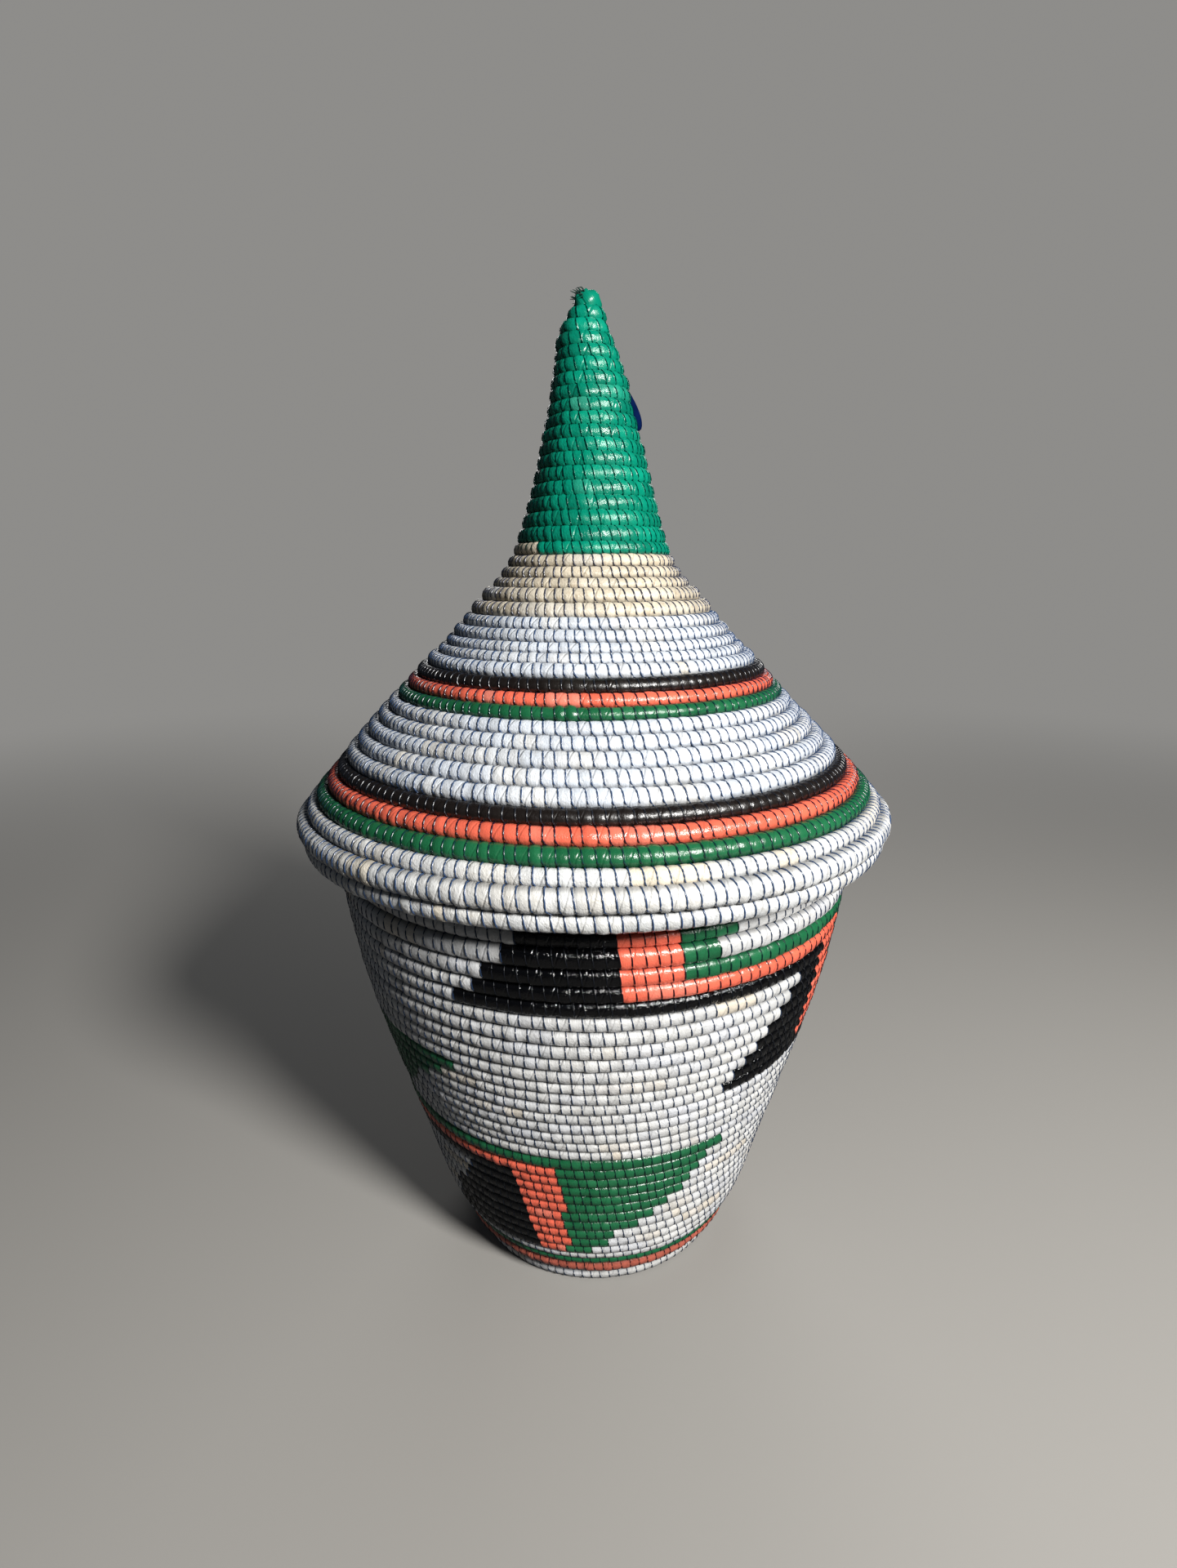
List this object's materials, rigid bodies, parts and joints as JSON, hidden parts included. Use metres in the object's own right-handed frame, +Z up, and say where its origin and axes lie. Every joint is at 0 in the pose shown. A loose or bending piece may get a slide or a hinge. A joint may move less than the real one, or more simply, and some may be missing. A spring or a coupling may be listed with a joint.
{
  "type": "lidded coiled basket",
  "caption": "Coiled basket with a narrow foot, a stepped pattern, and a tall cone lid with a thin spire and a fat overhanging brim that lifts straight off.",
  "frame": {"origin": "bottom centre: on the basket's upright axis, at the flat underside of the foot", "axes": "+Z up along the axis of the bowl and of the lid's spire; -Y is the side that the picture shows, +X is to the right there"},
  "size_m": [0.2108, 0.21, 0.3418],
  "materials": {
    "grass_core": "dry grass coil, matt",
    "white_strip": "thin plastic strip, soft gloss, wrinkled",
    "cream_strip": "aged plastic strip, soft gloss, stained",
    "coral_strip": "thin plastic strip, soft gloss",
    "green_strip": "thin plastic strip, soft gloss",
    "black_strip": "thin plastic strip, glossy",
    "emerald_strip": "thin plastic strip, glossy",
    "blue_thread": "fine plastic filament, glossy"
  },
  "bodies": {
    "base": {"base_core": "grass_core", "base_floor": "grass_core", "base_white_wrap": "white_strip", "base_black_motif_1": "black_strip", "base_coral_motif_1": "coral_strip", "base_green_motif_1": "green_strip", "base_black_motif_2": "black_strip", "base_coral_motif_2": "coral_strip", "base_green_motif_2": "green_strip", "base_black_motif_3": "black_strip", "base_coral_motif_3": "coral_strip", "base_green_motif_3": "green_strip", "base_black_motif_4": "black_strip", "base_coral_motif_4": "coral_strip", "base_green_motif_4": "green_strip", "base_foot_white_coil_1": "white_strip", "base_foot_green_coil_2": "green_strip", "base_foot_coral_coil_3": "coral_strip", "base_foot_black_coil_4": "black_strip", "base_foot_white_coil_5": "white_strip"},
    "lid": {"lid_core": "grass_core", "lid_tip_knot": "emerald_strip", "lid_spire_green_wrap": "emerald_strip", "lid_blue_thread_end": "blue_thread", "lid_cream_wrap": "cream_strip", "lid_upper_white_wrap": "white_strip", "lid_upper_black_coil": "black_strip", "lid_upper_coral_coil": "coral_strip", "lid_upper_green_coil": "green_strip", "lid_middle_white_wrap": "white_strip", "lid_lower_black_coil": "black_strip", "lid_lower_coral_coil": "coral_strip", "lid_lower_green_coil": "green_strip", "lid_shoulder_white_coil": "white_strip", "lid_brim_white_coil": "white_strip", "lid_under_brim_coil": "white_strip"}
  },
  "joints": [
    {"name": "lid_lift", "type": "slide", "parent": "base", "child": "lid", "axis": [0, 0, 1], "range_m": [0, 0.1]}
  ]
}
